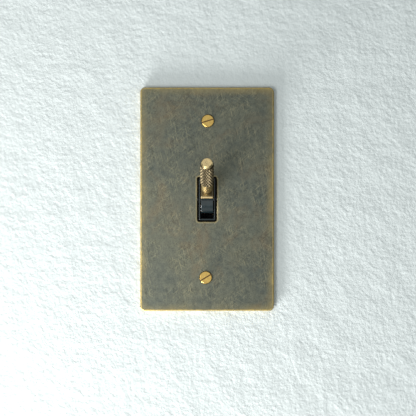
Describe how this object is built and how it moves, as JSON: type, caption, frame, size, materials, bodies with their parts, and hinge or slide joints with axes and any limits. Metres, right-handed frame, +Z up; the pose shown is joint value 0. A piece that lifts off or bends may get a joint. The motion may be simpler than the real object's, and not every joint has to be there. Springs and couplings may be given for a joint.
{
  "type": "toggle wall switch",
  "caption": "Wall switch with a knurled metal toggle lever on a flat rounded metal plate, over a strapped moulded body with screw terminals.",
  "frame": {"origin": "centre of the cover plate's back face, on the wall's surface", "axes": "+X to the right seen from the room, +Y into the wall, +Z up"},
  "size_m": [0.0712, 0.0541, 0.119],
  "materials": {
    "antique_brass": "patinated, scratched",
    "polished_brass": "polished",
    "knurled_brass": "diamond knurled",
    "black_phenolic": "glossy",
    "housing_phenolic": "moulded",
    "zinc_steel": "zinc plated",
    "spring_steel": "drawn wire",
    "copper": "rolled copper sheet",
    "contact_silver": "satin silver",
    "red_fibre": "pressed fibre",
    "nylon": "moulded",
    "rubber": "matt",
    "green_steel": "green passivated"
  },
  "bodies": {
    "base": {"wall_plate": "antique_brass", "plate_screw_top": "polished_brass", "plate_screw_bottom": "polished_brass", "screw_retainer_top": "red_fibre", "screw_retainer_bottom": "red_fibre", "mounting_strap": "zinc_steel", "ground_screw": "green_steel", "case_rivet_top_left": "zinc_steel", "case_rivet_top_right": "zinc_steel", "case_rivet_bottom_left": "zinc_steel", "case_rivet_bottom_right": "zinc_steel", "front_cover": "black_phenolic", "rear_housing": "housing_phenolic", "stop_bumper_upper": "rubber", "stop_bumper_lower": "rubber", "contact_stop_pad": "red_fibre", "fixed_contact": "contact_silver", "line_terminal": "polished_brass", "load_terminal": "polished_brass", "line_clamp_plate": "zinc_steel", "load_clamp_plate": "zinc_steel", "line_terminal_screw": "polished_brass", "load_terminal_screw": "polished_brass"},
    "lever": {"toggle_rocker": "black_phenolic", "lever_base": "polished_brass", "lever_grip": "knurled_brass", "lever_stud": "zinc_steel", "pivot_pin": "spring_steel", "plunger_spring": "spring_steel"},
    "plunger": {"plunger": "nylon"},
    "contact": {"contact_rocker": "copper", "moving_contact": "contact_silver"}
  },
  "joints": [
    {"name": "lever_tilt", "type": "hinge", "parent": "base", "child": "lever", "pos_m": [0, 0.004, 0], "axis": [1, 0, 0], "range_deg": [0, 56]},
    {"name": "contact_rock", "type": "hinge", "parent": "base", "child": "contact", "pos_m": [0, 0.0184, 0], "axis": [1, 0, 0], "range_deg": [-20, 0]},
    {"name": "plunger_slide", "type": "slide", "parent": "lever", "child": "plunger", "axis": [0, -0.8829, 0.4695], "range_m": [0, 0.001], "stiffness_N_per_m": 500, "springref_m": -0.002, "deforming": ["plunger_spring"]}
  ],
  "couplings": [
    {"joint": "contact_rock", "follows": "lever_tilt", "ratio": -0.357}
  ]
}
